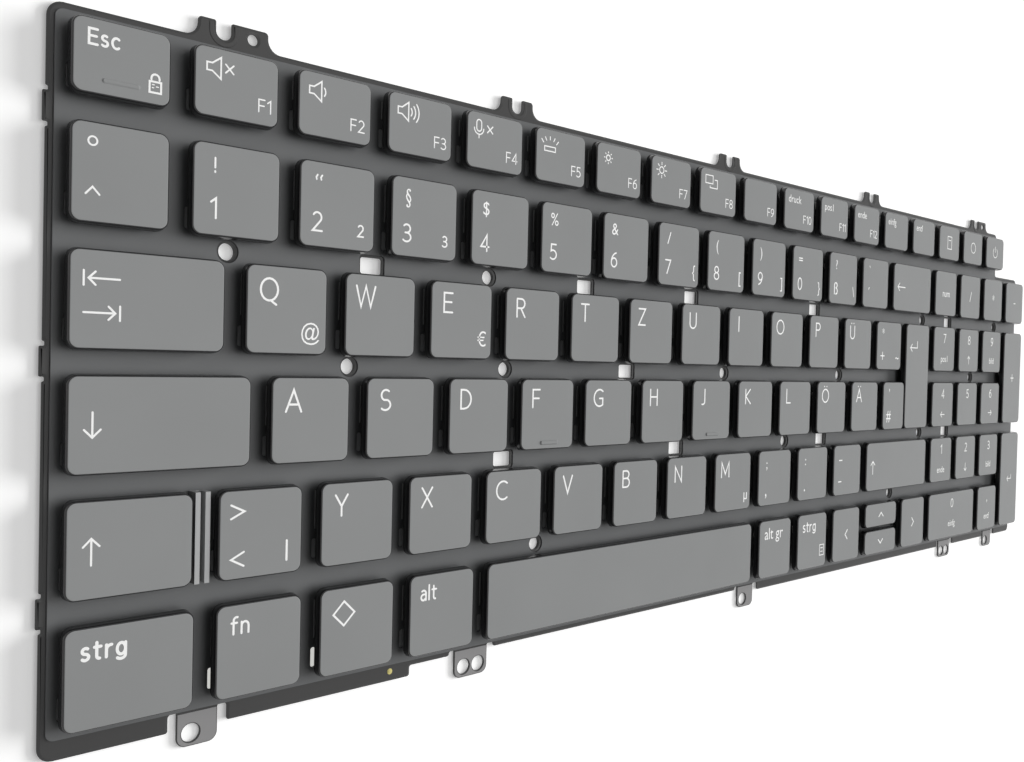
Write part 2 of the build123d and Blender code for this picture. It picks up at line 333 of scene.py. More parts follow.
for gap, keys in (
    (1, "tab e backspace multiply"),
    (2, "a d j o_umlaut pad_5"),
    (3, "comma right_shift"),
    (4, "c arrow_up"),
):
    round_posts += [(tops[key].right + key_gap / 2, row_gaps[gap]) for key in keys.split()]
square_post = (4.4 * mm, 2.9 * mm)
square_corner = 0.45 * mm
round_post = 2.8 * mm
left_corner = 2.1 * mm
right_corner = 1.6 * mm
rear_corner = 2.2 * mm
cut_corner = 1.0 * mm
step_corner = 0.5 * mm
relief_lip, relief_corner = 0.4 * mm, 0.6 * mm
lug_root, lug_tip, slot_lip = 2.2 * mm, 0.6 * mm, 0.3 * mm

corners = [(plate_left, plate_front - front_step, left_corner)]
edge = plate_front - front_step
for number, (hole, holes) in enumerate(front_lugs, 1):
    left, right = hole.x - hole_margin - relief, hole.x - hole_margin + lug_width[holes] + relief
    corners += [(left, edge, relief_lip)]
    corners += [(x, lug_bend, relief_corner) for x in (left, right)]
    if number == 3:
        edge = plate_front - right_step
    corners.append((right, edge, relief_lip))
    if number == 1:
        corners += [(step_end, y, step_corner) for y in (edge, plate_front)]
        edge = plate_front
corners += [(plate_right, y, right_corner) for y in (edge, cut_y)]
corners += [(cut_x, cut_y, cut_corner), (cut_x, plate_rear, right_corner)]
for place in reversed(slots):
    ends = place in (slots[0], slots[-1])
    right, left = place.x + lug_half + lug_extra * ends, place.x - lug_half
    side = slot_width / 2
    floor_y = plate_high.y - slot_depth
    corners += [(right, plate_rear, lug_root), (right, plate_high.y, lug_tip)]
    corners += [(place.x + side, plate_high.y, slot_lip), (place.x + side, floor_y, side)]
    corners += [(place.x - side, floor_y, side), (place.x - side, plate_high.y, slot_lip)]
    corners += [(left, plate_high.y, lug_tip), (left, plate_rear, lug_root)]
corners.append((plate_left, plate_rear, rear_corner))
notch_x = plate_left + 0.35 * mm
notch_half, tab_half = 2.9 * mm, 2.2 * mm
notch_corner = 0.2 * mm
notch = [(plate_left, notch_half), (notch_x, notch_half), (notch_x, tab_half), (plate_low.x, tab_half)]
notch += [(x, -y) for x, y in reversed(notch)]
for gap in (0, 2, 4):
    corners += [(x, row_gaps[gap] + y, notch_corner) for x, y in notch]

holes = [rectangle(x, y, *square_post, square_corner) for x, y in square_posts]
holes += [circle(x, y, round_post / 2) for x, y in round_posts]
pilot_right, pilot_down, pilot_radius = 4.9 * mm, 1.75 * mm, 0.9 * mm
for place in (slots[0], slots[-1]):
    holes.append(circle(place.x + pilot_right, plate_high.y - pilot_down, pilot_radius, 24))
bm = bmesh.new()
add_sheet(bm, rounded(corners), holes, plate_bottom, plate_top, edge_roll, edge_drop, 0, 1)
collar_wall = 0.3 * mm
collar_foot = 0.03 * mm
for x, y in round_posts:
    collar = [circle(x, y, round_post / 2 + wide) for wide in (collar_wall, 0.0)]
    add_sheet(bm, collar[0], [collar[1]], collar_foot, plate_bottom, 0, 0, 1, 1)
tongue_corner = 1.5 * mm
tongue_roll, tongue_drop = 0.15 * mm, 0.08 * mm
eye_radius = 1.5 * mm
bend_sides = ((0, 1, 3, 2), (4, 5, 7, 6), (0, 2, 6, 4), (1, 3, 7, 5), (0, 1, 5, 4), (2, 3, 7, 6))
for hole, count in front_lugs:
    left = hole.x - hole_margin
    right = left + lug_width[count]
    neck = lug_bend - joggle
    tongue = [(left, neck, 0), (left, plate_low.y, tongue_corner)]
    tongue += [(right, plate_low.y, tongue_corner), (right, neck, 0)]
    eyes = [circle(x, hole.y, eye_radius) for x in (hole.x, right - hole_margin)[:count]]
    heights = (plate_bottom - joggle, plate_top - joggle)
    add_sheet(bm, rounded(tongue), eyes, *heights, tongue_roll, tongue_drop, 2, 1)
    bend = []
    for x in (left, right):
        for y, sink in ((lug_bend + edge_roll, 0), (neck, joggle)):
            bend += [bm.verts.new((x, y, z - sink)) for z in (plate_top, plate_bottom)]
    for side in bend_sides:
        bm.faces.new([bend[i] for i in side])
ring_reach = 2.5 * mm
ring_rise = 0.07 * mm
ring_roll, ring_drop = 0.12 * mm, 0.06 * mm
for place in slots:
    floor_y = plate_high.y - slot_depth
    rear = plate_high.y - edge_roll
    inner = slot_width / 2 + edge_roll
    band = [(place.x + ring_reach, rear, 0), (place.x + inner, rear, 0)]
    band += [(place.x + x, floor_y - edge_roll, inner) for x in (inner, -inner)]
    band += [(place.x - inner, rear, 0), (place.x - ring_reach, rear, 0)]
    low = floor_y - (ring_reach - slot_width / 2)
    band += [(place.x + x, low, ring_reach) for x in (-ring_reach, ring_reach)]
    add_sheet(bm, rounded(band), [], plate_top, plate_top + ring_rise, ring_roll, ring_drop)
plate_paint = finish("plate_paint", (0.036, 0.0357, 0.0354), 0.42, 0.12 * mm, 0.006 * mm, 0.06, 0.3)
# The rolled edges, the sides and the post collar walls are coloured darker than the paint: painted
# shade for the dark line round the plate and inside the post holes.
plate_edge_painted_shade = finish("plate_edge_painted_shade", (0.018, 0.018, 0.018), 0.4, 0.2 * mm, 0.01 * mm)
# The front lugs carry the same paint as the sheet; their lighter grey is a painted highlight for the
# light they catch.
lug_painted_highlight = finish("lug_painted_highlight", (0.225, 0.222, 0.223), 0.5, 0.12 * mm, 0.006 * mm, 0.06)
plate = piece("plate", bm, "chassis", "painted_plate", plate_paint, plate_edge_painted_shade, lug_painted_highlight)
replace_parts(plate, "base_plate")


# Circuit membrane
# Printed films laminated under a grey mask film, lying on the plate inside its edge. It is open
# round every post and has a short slot under the left edge of each cap for the backlight.
film_grey = finish("film_grey", (0.112, 0.115, 0.117), 0.42, 0.25 * mm, 0.008 * mm, 0.06, 0.3)
film_edge = finish("film_edge", (0.05, 0.05, 0.052), 0.5, 0.25 * mm, 0.008 * mm)
post_relief = 0.4 * mm
window_width = 0.9 * mm
window_length = 3.4 * mm
window_x = 0.55 * mm
window_y = 2.8 * mm
window_round = 0.45
film_corner, film_cut_corner, film_post_corner = 1.2 * mm, 0.6 * mm, 0.7 * mm
film_roll, film_drop = 0.06 * mm, 0.05 * mm
film_cut = (cut_x - sheet_inset, cut_y - sheet_inset)
film_outline = rounded([
    (film_low.x, film_low.y, film_corner),
    (film_high.x, film_low.y, film_corner),
    (film_high.x, film_cut[1], film_corner),
    (film_cut[0], film_cut[1], film_cut_corner),
    (film_cut[0], film_high.y, film_corner),
    (film_low.x, film_high.y, film_corner),
])
film_holes = []
for x, y in square_posts:
    grown = [size + 2 * post_relief for size in square_post]
    film_holes.append(rectangle(x, y, *grown, film_post_corner))
film_holes += [circle(x, y, round_post / 2 + post_relief) for x, y in round_posts]
windows = {}
for name, top in tops.items():
    if top.depth > window_length * 2:
        windows[name] = (top.left + window_x, top.front + window_y)
for x, y in windows.values():
    film_holes.append(rectangle(x, y, window_width, window_length, window_width * window_round))
bm = bmesh.new()
add_sheet(bm, film_outline, film_holes, plate_top, film_top, film_roll, film_drop, 0, 1)
membrane = piece("membrane_film", bm, "chassis", "membrane_film", film_grey, film_edge)
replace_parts(membrane, "membrane")


# Drop of glue
# A small drop of the clear amber glue that holds the films together. It was squeezed out when
# they were laid on the plate and has dried on the plate's front edge.
glue_amber = finish("glue_amber", (0.62, 0.55, 0.2), 0.25, 0.3 * mm, 0.004 * mm)
glue_x, glue_y = tops["system"].right + 1.9 * mm, plate_front - 0.25 * mm
glue_sink = 0.02 * mm
bm = bmesh.new()
for radius, rise in ((0.55, 0.05), (0.42, 0.1), (0.22, 0.14)):
    outline = circle(glue_x, glue_y, radius * mm, 20)
    add_sheet(bm, outline, [], plate_top - glue_sink, plate_top + rise * mm)
piece("glue_drop", bm, "chassis", "membrane_film", glue_amber)


# Light windows
# The light guide under the mask film shows through a slot at each key. It is smoky where it lies
# on the black film. Under two keys of the front row it is white and glows with a light of its own:
# painted light standing in for the table shining through it.
window_smoke = finish("window_smoke", (0.4, 0.41, 0.415), 0.3, 0.4 * mm, 0.004 * mm)
# The white pane material glows, though it is no lamp: painted light for the table shining through.
window_painted_glow = finish("window_painted_glow", (0.9, 0.9, 0.87), 0.4, 0.4 * mm, 0.004 * mm)
window_glow_shader = window_painted_glow.node_tree.nodes["Principled BSDF"]
window_glow_shader.inputs["Emission Color"].default_value = (0.9, 0.9, 0.86, 1)
window_glow_shader.inputs["Emission Strength"].default_value = 0.6
pane_gap = 0.02 * mm
pane_rise = 0.1 * mm
bm = bmesh.new()
for name, (x, y) in windows.items():
    clear = window_width - pane_gap
    pane = rectangle(x, y, clear, window_length - pane_gap, clear * window_round)
    # The panes under fn and system get the white, glowing material: painted light.
    shade = 1 if name in ("fn", "system") else 0
    add_sheet(bm, pane, [], plate_top, plate_top + pane_rise, 0, 0, shade, shade)
piece("light_windows", bm, "chassis", "membrane_film", window_smoke, window_painted_glow)


# Lever hooks
# Small hooks folded up out of the plate that stand through the films beside each cap. The ends of its
# levers are held under them.
# Their light grey is partly bare sheared steel and partly a painted highlight, standing in for the
# bright lines reflections lay beside the caps.
# Light grey ribs: partly bare steel, partly a painted highlight.
hook_steel_and_highlight = finish("hook_steel_and_highlight", (0.42, 0.43, 0.43), 0.3, 0.2 * mm, 0.004 * mm)
hook_width = 0.16 * mm
hook_rise, hook_sink = 0.12 * mm, 0.02 * mm
hook_x, hook_y = 0.62 * mm, 6.2 * mm
hook_length, hook_margin = 6.6 * mm, 7.6 * mm
hook_corner = 0.06 * mm
bm = bmesh.new()
for name in windows:
    top = tops[name]
    reach = min(hook_length, top.depth - hook_margin)
    if reach > 0:
        x, y = top.left + hook_x, top.front + hook_y + reach / 2
        outline = rectangle(x, y, hook_width, reach, hook_corner)
        add_sheet(bm, outline, [], film_top - hook_sink, film_top + hook_rise)
piece("lever_hooks", bm, "chassis", "painted_plate", hook_steel_and_highlight)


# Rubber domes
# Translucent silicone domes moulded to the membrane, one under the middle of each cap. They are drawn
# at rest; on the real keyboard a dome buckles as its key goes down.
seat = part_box("rubber_domes")[1].z
dome_rubber = finish("dome_rubber", (0.7, 0.7, 0.68), 0.45, 0.3 * mm, 0.006 * mm)
dome_room = 7.2 * mm
dome_profile = (
    (2.9, 0.0), (2.9, 0.12), (2.55, 0.16), (2.3, 0.5), (1.95, 0.85), (1.75, 0.97), (1.65, 1.0),
)


def add_dome(bm, top, steps=24):
    """A dome under the middle of a key, between the membrane and the cap."""
    size = min(1.0, top.depth / dome_room)
    rings = []
    for radius, share in dome_profile:
        z = film_top + share * (seat - film_top)
        outline = circle(top.x, top.y, radius * size * mm, steps)
        rings.append([bm.verts.new((p.x, p.y, z)) for p in outline])
    bm.faces.new(rings[0][::-1])
    bm.faces.new(rings[-1])
    for below, above in zip(rings, rings[1:]):
        for i in range(steps):
            made = bm.faces.new((below[i - 1], below[i], above[i], above[i - 1]))
            made.smooth = True


bm = bmesh.new()
for names in fixed_groups.values():
    for name in names:
        add_dome(bm, tops[name])
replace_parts(piece("fixed_domes", bm, "chassis", "dome_rubber", dome_rubber), "rubber_domes")
for name in moving_names:
    bm = bmesh.new()
    add_dome(bm, tops[name])
    dome = piece(f"{name}_dome", bm, "chassis", "dome_rubber", dome_rubber)
    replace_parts(dome, "rubber_domes")
    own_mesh(dome)


# Scissor levers
# Two moulded forks under each cap, crossed at their middles and drawn leaning at rest. On the real
# keyboard they fold flat as the key goes down and keep the cap level.
lever_plastic = finish("lever_plastic", (0.6, 0.6, 0.58), 0.4, 0.25 * mm, 0.006 * mm)
lever_width = 10.6 * mm
lever_length = 9.2 * mm
lever_arm = 1.0 * mm
lever_thickness = 0.5 * mm
lever_gap = 0.2 * mm
fork_tip, fork_inside, fork_outside = 0.2 * mm, 0.5 * mm, 0.6 * mm
fork_roll = 0.05 * mm
lever_lean = math.asin((seat - film_top - lever_thickness) / lever_length)


def add_levers(bm, top):
    """Both forks of one key, leaning opposite ways about the middle of the gap."""
    middle = Vector((top.x, top.y, (seat + film_top) / 2))
    for side, width in ((1, lever_width), (-1, lever_width - 2 * (lever_arm + lever_gap))):
        half, length = width / 2, (lever_length - lever_thickness) / 2
        open_end = -side * length
        closed = side * length
        inner = half - lever_arm
        fork = [(x, open_end, fork_tip) for x in (-half, -inner)]
        fork += [(x, closed - side * lever_arm, fork_inside) for x in (-inner, inner)]
        fork += [(x, open_end, fork_tip) for x in (inner, half)]
        fork += [(x, closed, fork_outside) for x in (half, -half)]
        before = len(bm.verts)
        heights = (-lever_thickness / 2, lever_thickness / 2)
        add_sheet(bm, rounded(fork), [], *heights, fork_roll, fork_roll)
        bm.verts.ensure_lookup_table()
        tilt = Matrix.Translation(middle) @ Matrix.Rotation(-side * lever_lean, 4, "X")
        bmesh.ops.transform(bm, matrix=tilt, verts=bm.verts[before:])


bm = bmesh.new()
for names in fixed_groups.values():
    for name in names:
        if tops[name].depth > lever_length:
            add_levers(bm, tops[name])
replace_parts(piece("fixed_levers", bm, "chassis", "lever_plastic", lever_plastic), "scissor_levers")
for name in moving_names:
    if tops[name].depth > lever_length:
        bm = bmesh.new()
        add_levers(bm, tops[name])
        levers = piece(f"{name}_levers", bm, "chassis", "lever_plastic", lever_plastic)
        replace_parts(levers, "scissor_levers")
        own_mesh(levers)


# Shift filler
# A strip of grey plastic moulded with two ribs and fixed to the plate. It closes the gap between
# the left shift key and the next one.
filler_plastic = finish("filler_plastic", (0.36, 0.364, 0.366), 0.42, 0.1 * mm, 0.005 * mm, 0.05)
filler = frame["nodes"]["shift_filler"]
filler.data.materials.clear()
filler.data.materials.append(filler_plastic)
round_edges = filler.modifiers.new("round_edges", "BEVEL")
round_edges.width = 0.12 * mm
round_edges.segments = 2


# Key caps
# Moulded in glossy black plastic, hollow underneath, with a satin grey top face. The grey is partly
# the top's paint and partly painted light, standing in for the sheen the lamps lay on the top. Each
# cap clips on its levers and stands on its dome.
# The grey of the top is partly painted light: a painted sheen on a black top.
cap_top_paint_and_sheen = finish("cap_top_paint_and_sheen", (0.25, 0.255, 0.255), 0.4, 0.09 * mm, 0.005 * mm, 0.05, 0.22)
cap_side = finish("cap_side", (0.01, 0.01, 0.011), 0.2, 0.3 * mm, 0.003 * mm)
cap_bottom, cap_top = [corner.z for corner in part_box("a_keycap")]
cap_wall = 0.9 * mm
cap_roof = 0.8 * mm
cap_corner = 1.45 * mm
cap_corner_least = 0.35 * mm
cap_edge = 0.34 * mm
edge_steps = 5
# Four of the five bands of the rounded edge take the black of the sides, so each top has a thin dark
# outline.
dark_steps = 4
rim_round = 0.08 * mm


def add_cap(bm, top):
    """A hollow cap: pocket, lower rim, sloping side, rounded edge and flat top."""

    def ring(out, z):
        """Round-cornered ring, out from the edge of the key top."""
        radius = max(cap_corner_least, cap_corner + out)
        width, depth = top.width + 2 * out, top.depth + 2 * out
        return [bm.verts.new((p.x, p.y, z)) for p in rectangle(top.x, top.y, width, depth, radius)]

    side = cap_taper / (cap_top - cap_bottom)
    rings = [ring(-cap_wall, cap_top - cap_roof), ring(cap_taper - cap_wall, cap_bottom)]
    rings += [ring(cap_taper - rim_round, cap_bottom), ring(cap_taper, cap_bottom + rim_round)]
    dark = len(rings) + dark_steps
    for step in range(edge_steps + 1):
        angle = math.radians(90 * step / edge_steps)
        out = side * cap_edge - cap_edge * (1 - math.cos(angle))
        rings.append(ring(out, cap_top - cap_edge * (1 - math.sin(angle))))
    bm.faces.new(rings[0][::-1]).material_index = 1
    bm.faces.new(rings[-1])
    for level, (below, above) in enumerate(zip(rings, rings[1:])):
        for i in range(len(below)):
            made = bm.faces.new((below[i - 1], below[i], above[i], above[i - 1]))
            made.material_index = 1 if level < dark else 0
            made.smooth = level > 1


bar_roll = 0.2 * mm
bar_round = 0.48
bar_drop = 0.8


def add_bar(bm, x, y, width, depth, height):
    """A raised bar for the finger, with rounded edges."""
    outline = rectangle(x, y, width, depth, depth * bar_round)
    add_sheet(bm, outline, [], cap_top, cap_top + height, bar_roll, height * bar_drop)


finger_bar = (5.0 * mm, 0.9 * mm, 0.22 * mm)
escape_bar = (5.4 * mm, 0.75 * mm, 0.1 * mm)
for node, names in fixed_groups.items():
    bm = bmesh.new()
    for name in names:
        add_cap(bm, tops[name])
    if "escape" in names:
        top = tops["escape"]
        add_bar(bm, top.left + 6.8 * mm, top.rear - 8.6 * mm, *escape_bar)
    row = node.replace("keycaps", "caps")
    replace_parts(piece(row, bm, "chassis", "key_plastic", cap_top_paint_and_sheen, cap_side), node)
for name in moving_names:
    bm = bmesh.new()
    top = tops[name]
    add_cap(bm, top)
    if name in "fj":
        add_bar(bm, top.left + 7.7 * mm, top.front + 1.35 * mm, *finger_bar)
    cap = piece(f"{name}_cap", bm, f"{name}_key", "key_plastic", cap_top_paint_and_sheen, cap_side)
    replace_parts(cap, f"{name}_keycap")


# Legends
# Letters, digits, words and plain signs in white ink, printed on the top of each cap and clear
# to the light below. Places are in mm from the left and the rear edge of a key top.
ink_white = finish("ink_white", (0.93, 0.93, 0.92), 0.5, 0.15 * mm, 0.003 * mm)
ink_low, ink_high = cap_top - 0.01 * mm, cap_top + 0.012 * mm
ink_step = 0.02 * mm
ink_levels = 97
stroke, bold_line, icon_line, fine_line = 0.3, 0.34, 0.26, 0.24
letter_gap = 0.13
left_least = 1.95
font_height, font_narrow = 0.682, 0.92
# Height, side that is set, place across, place of the foot and stroke, in mm
styles = {
    "letter": (3.95, "about", 3.9, 5.9, 0.36),
    "upper": (2.5, "about", 3.5, 4.65, 0.3),
    "lower": (3.4, "about", 3.3, 11.75, 0.33),
    "corner": (2.7, "right", 1.35, 11.85, 0.3),
    "small": (2.2, "right", 2.05, 11.9, 0.28),
    "word": (2.95, "left", 2.3, 4.9, 0.36),
    "escape": (2.5, "left", 2.05, 3.95, 0.36),
    "function": (2.2, "right", 1.25, 8.65, 0.22),
    "function_word": (1.9, "left", 1.8, 3.6, 0.2),
    "pad": (3.0, "middle", 0.0, 5.2, 0.3),
    "pad_word": (2.0, "middle", 0.0, 11.3, 0.22),
    "centre": (3.0, "middle", 0.0, 8.5, 0.3),
    "centre_word": (2.2, "middle", 0.0, 8.2, 0.25),
}


def bow(x, y, wide, high, start=0, end=360):
    """Points of an oval arc, degrees from the right and up."""
    steps = max(3, math.ceil(abs(end - start) / 18))
    turns = [math.radians(start + (end - start) * i / steps) for i in range(steps + 1)]
    return [(round(x + wide * math.cos(a), 4), round(y + high * math.sin(a), 4)) for a in turns]


# Strokes of each sign in cap heights, from its left foot
stem = [(0, 0), (0, 1)]
loop = [(0, 1)] + bow(0.3, 0.74, 0.26, 0.26, 90, -90) + [(0, 0.48)]
pens = {
    "A": [[(0, 0), (0.39, 1), (0.78, 0)], [(0.13, 0.33), (0.65, 0.33)]],
    "B": [stem, [(0, 1)] + bow(0.3, 0.77, 0.23, 0.23, 90, -90) + [(0, 0.54)],
          [(0.3, 0.54)] + bow(0.32, 0.27, 0.26, 0.27, 90, -90) + [(0, 0)]],
    "C": [bow(0.46, 0.5, 0.46, 0.5, 52, 308)],
    "D": [[(0, 0), (0, 1)] + bow(0.2, 0.5, 0.47, 0.5, 90, -90) + [(0, 0)]],
    "E": [[(0.54, 1), (0, 1), (0, 0), (0.54, 0)], [(0, 0.53), (0.48, 0.53)]],
    "F": [[(0.52, 1), (0, 1), (0, 0)], [(0, 0.51), (0.46, 0.51)]],
    "G": [bow(0.46, 0.5, 0.46, 0.5, 52, 275)
          + [(0.64, 0.04), (0.74, 0.09), (0.74, 0.47), (0.46, 0.47)]],
    "H": [stem, [(0.64, 0), (0.64, 1)], [(0, 0.53), (0.64, 0.53)]],
    "I": [stem],
    "J": [[(0.3, 1)] + bow(0.1, 0.2, 0.2, 0.2, 0, -85) + [(0, 0.01)]],
    "K": [stem, [(0.53, 1), (0.02, 0.51), (0.57, 0)]],
    "L": [[(0, 1), (0, 0), (0.49, 0)]],
    "M": [[(0, 0), (0.02, 1), (0.42, 0.2), (0.82, 1), (0.84, 0)]],
    "N": [[(0, 0), (0, 1), (0.65, 0), (0.65, 1)]],
    "O": [bow(0.45, 0.5, 0.45, 0.5)],
    "P": [stem, loop],
    "Q": [bow(0.42, 0.5, 0.42, 0.5), [(0.48, 0.02), (0.62, -0.08), (0.76, -0.17)]],
    "R": [stem, loop, [(0.28, 0.48), (0.58, 0)]],
    "S": [bow(0.31, 0.74, 0.26, 0.26, 48, 245) + bow(0.28, 0.26, 0.3, 0.26, 65, -135)],
    "T": [[(0, 1), (0.62, 1)], [(0.31, 1), (0.31, 0)]],
    "U": [[(0, 1)] + bow(0.32, 0.32, 0.32, 0.32, 180, 360) + [(0.64, 1)]],
    "V": [[(0, 1), (0.36, 0), (0.72, 1)]],
    "W": [[(0, 1), (0.26, 0), (0.53, 1), (0.8, 0), (1.06, 1)]],
    "X": [[(0, 1), (0.64, 0)], [(0.64, 1), (0, 0)]],
    "Y": [[(0, 1), (0.33, 0.46), (0.66, 1)], [(0.33, 0.46), (0.33, 0)]],
    "Z": [[(0, 1), (0.6, 1), (0, 0), (0.6, 0)]],
    "0": [bow(0.29, 0.5, 0.29, 0.5)],
    "1": [[(0, 0.8), (0.26, 1), (0.26, 0)]],
    "2": [bow(0.27, 0.72, 0.26, 0.28, 150, -30) + [(0, 0), (0.57, 0)]],
    "3": [bow(0.24, 0.76, 0.25, 0.24, 140, -90) + [(0.14, 0.52)],
          [(0.24, 0.52)] + bow(0.23, 0.26, 0.3, 0.26, 80, -140)],
    "4": [[(0.47, 0), (0.47, 1), (0, 0.27), (0.64, 0.27)]],
    "5": [[(0.5, 1), (0.07, 1), (0.05, 0.55)] + bow(0.22, 0.31, 0.31, 0.3, 105, -135)],
    "6": [bow(0.29, 0.31, 0.28, 0.31), bow(0.6, 0.31, 0.59, 0.69, 180, 100)],
    "7": [[(0, 1), (0.58, 1), (0.18, 0)]],
    "8": [bow(0.29, 0.76, 0.24, 0.24), bow(0.29, 0.26, 0.29, 0.26)],
    "9": [bow(0.29, 0.69, 0.28, 0.31), bow(-0.02, 0.69, 0.59, 0.69, 0, -80)],
    "a": [bow(0.21, 0.48, 0.21, 0.22, 130, 0) + [(0.42, 0)],
          [(0.42, 0.42)] + bow(0.2, 0.21, 0.2, 0.21, 90, 280) + [(0.42, 0.16)]],
    "c": [bow(0.27, 0.35, 0.27, 0.35, 52, 308)],
    "f": [bow(0.34, 0.84, 0.2, 0.2, 75, 180) + [(0.14, 0)], [(0, 0.69), (0.36, 0.69)]],
    "g": [bow(0.24, 0.36, 0.24, 0.34), [(0.48, 0.7)] + bow(0.22, -0.04, 0.26, 0.2, 0, -140)],
    "l": [[(0, 0), (0, 1.04)]],
    "n": [[(0, 0), (0, 0.7)], bow(0.23, 0.44, 0.23, 0.26, 180, 0) + [(0.46, 0)]],
    "r": [[(0, 0), (0, 0.7)], bow(0.27, 0.42, 0.27, 0.27, 180, 85)],
    "s": [bow(0.21, 0.53, 0.18, 0.17, 48, 245) + bow(0.19, 0.18, 0.2, 0.18, 65, -140)],
    "t": [[(0.13, 0.94)] + bow(0.28, 0.16, 0.15, 0.16, 180, 275), [(0, 0.69), (0.36, 0.69)]],
    "!": [[(0, 1), (0, 0.32)], [(0, 0.06), (0, 0)]],
    "\"": [[(0.12, 1), (0, 0.82), (0.04, 0.66)], [(0.52, 1), (0.4, 0.82), (0.44, 0.66)]],
    "+": [[(0, 0.45), (0.7, 0.45)], [(0.35, 0.8), (0.35, 0.1)]],
    "-": [[(0, 0.4), (0.45, 0.4)]],
    "_": [[(0, 0.1), (0.7, 0.1)]],
    "/": [[(0, -0.1), (0.42, 1.05)]],
    "=": [[(0, 0.58), (0.7, 0.58)], [(0, 0.3), (0.7, 0.3)]],
}
dot_height, dot_width = 1.22, 0.02
for sign, plain, middle in (("Ä", "A", 0.39), ("Ö", "O", 0.45), ("Ü", "U", 0.32)):
    starts = (middle - 0.18, middle + 0.16)
    pens[sign] = pens[plain] + [[(x, dot_height), (x + dot_width, dot_height)] for x in starts]


def left_edge(top, align, across, width):
    """Place of the left edge of words of a width, in mm from the left edge of a key top."""
    if align == "right":
        return top.width / mm - across - width
    if align == "middle":
        return (top.width / mm - width) / 2
    return across if align == "left" else max(left_least, across - width / 2)


def add_words(bm, top, words, style, bolder=0.0):
    """Words on a key top, drawn with strokes or else in the built-in font."""
    height, align, across, base, weight = styles[style]
    weight += bolder
    if not all(sign in pens for sign in words):
        add_type(bm, top, words, style)
        return
    paths, pen = [], 0.0
    size = height - weight
    for sign in words:
        xs = [x for path in pens[sign] for x, _ in path]
        paths += [[(pen + x - min(xs), y) for x, y in path] for path in pens[sign]]
        pen += max(xs) - min(xs) + letter_gap + weight / size
    width = (pen - letter_gap - weight / size) * size + weight
    left = left_edge(top, align, across, width) + weight / 2
    for path in paths:
        points = [(left + x * size, base - weight / 2 - y * size) for x, y in path]
        closed = path[0] == path[-1] and len(path) > 2
        add_line(bm, top, points[:-1] if closed else points, weight, closed)


def add_type(bm, top, words, style):
    """Words in the built-in font, narrowed and scaled to the height of a style."""
    height, align, across, base, _ = styles[style]
    curve = bpy.data.curves.new("words", "FONT")
    curve.body = words
    curve.resolution_u = 4
    curve.extrude = 0.5
    written = bpy.data.objects.new("words", curve)
    mesh = bpy.data.meshes.new_from_object(written)
    bpy.data.objects.remove(written)
    bpy.data.curves.remove(curve)
    scale = height * mm / font_height
    narrow = font_narrow * scale
    xs = [v.co.x * narrow for v in mesh.vertices]
    x = top.left + left_edge(top, align, across, (max(xs) - min(xs)) / mm) * mm - min(xs)
    place = Matrix.Translation((x, top.rear - base * mm, (ink_low + ink_high) / 2))
    mesh.transform(place @ Matrix.Diagonal((narrow, scale, ink_high - ink_low, 1)))
    bm.from_mesh(mesh)
    bpy.data.meshes.remove(mesh)


def add_line(bm, top, points, width=stroke, closed=False):
    """A line through points in mm from the left and the rear edge of the key top, ink over ink."""
    path = [Vector((top.left + x * mm, top.rear - y * mm)) for x, y in points]
    half = width / 2 * mm
    surface = ink_high + ink_step * (len(bm.verts) % ink_levels) / ink_levels
    if closed:
        path = facing(path, 1)
        add_sheet(bm, inset(path, -half), [inset(path, half)], ink_low, surface)
        return
    sides = {1: [], -1: []}
    for i, here in enumerate(path):
        before = (here - path[i - 1]).normalized() if i else (path[1] - here).normalized()
        behind = (path[i + 1] - here).normalized() if i + 1 < len(path) else before
        normal = Vector((-before.y - behind.y, before.x + behind.x)).normalized()
        share = max(sharpest, normal.dot(Vector((-before.y, before.x))))
        for side in sides:
            sides[side].append(here + normal * (side * half / share))
    ends = []
    for tip, first in ((path[-1], sides[1][-1]), (path[0], sides[-1][0])):
        spoke = first - tip
        start = math.atan2(spoke.y, spoke.x)
        turns = [start - math.pi * i / 6 for i in range(1, 6)]
        ends.append([tip + half * Vector((math.cos(a), math.sin(a))) for a in turns])
    add_sheet(bm, sides[1] + ends[0] + sides[-1][::-1] + ends[1], [], ink_low, surface)


def arc(x, y, radius, start, end, steps=8):
    """Points of an arc, degrees from the right and up."""
    turns = [math.radians(start + (end - start) * i / steps) for i in range(steps + 1)]
    return [(x + radius * math.cos(a), y - radius * math.sin(a)) for a in turns]


def add_arrow(bm, top, start, end, head=1.15, width=stroke):
    """A straight arrow from start to end with an open head."""
    start, end = Vector(start), Vector(end)
    along = (end - start).normalized()
    across = Vector((-along.y, along.x))
    back = end - along * head
    add_line(bm, top, (back + across * head, end, back - across * head), width)
    add_line(bm, top, (start, end - along * width), width)


def speaker(bm, top):
    """Outline of a loudspeaker."""
    cone = ((1.95, 2.5), (2.8, 2.5), (4.2, 1.45), (4.2, 4.75), (2.8, 3.7), (1.95, 3.7))
    add_line(bm, top, cone, icon_line, True)


def cross(bm, top, x, y, half=0.65):
    """Two crossed lines."""
    for side in (1, -1):
        add_line(bm, top, ((x - half, y - side * half), (x + half, y + side * half)), icon_line)


def waves(bm, top, count):
    """Sound waves in front of the loudspeaker."""
    for i in range(count):
        add_line(bm, top, arc(3.9, 3.1, 1.05 + 0.75 * i, -38, 38), icon_line)


def small_sun(bm, top, radius, rays):
    """A ring with eight rays."""
    add_line(bm, top, arc(3.4, 3.1, radius, 0, 330, 11), icon_line, True)
    for i in range(8):
        near, far = [arc(3.4, 3.1, r, 45 * i, 45 * i, 1)[0] for r in (radius + 0.45, rays)]
        add_line(bm, top, (near, far), fine_line)


function_words = {
    "f10": "druck", "f11": "pos1", "f12": "ende", "insert": "einfg", "delete": "entf",
}


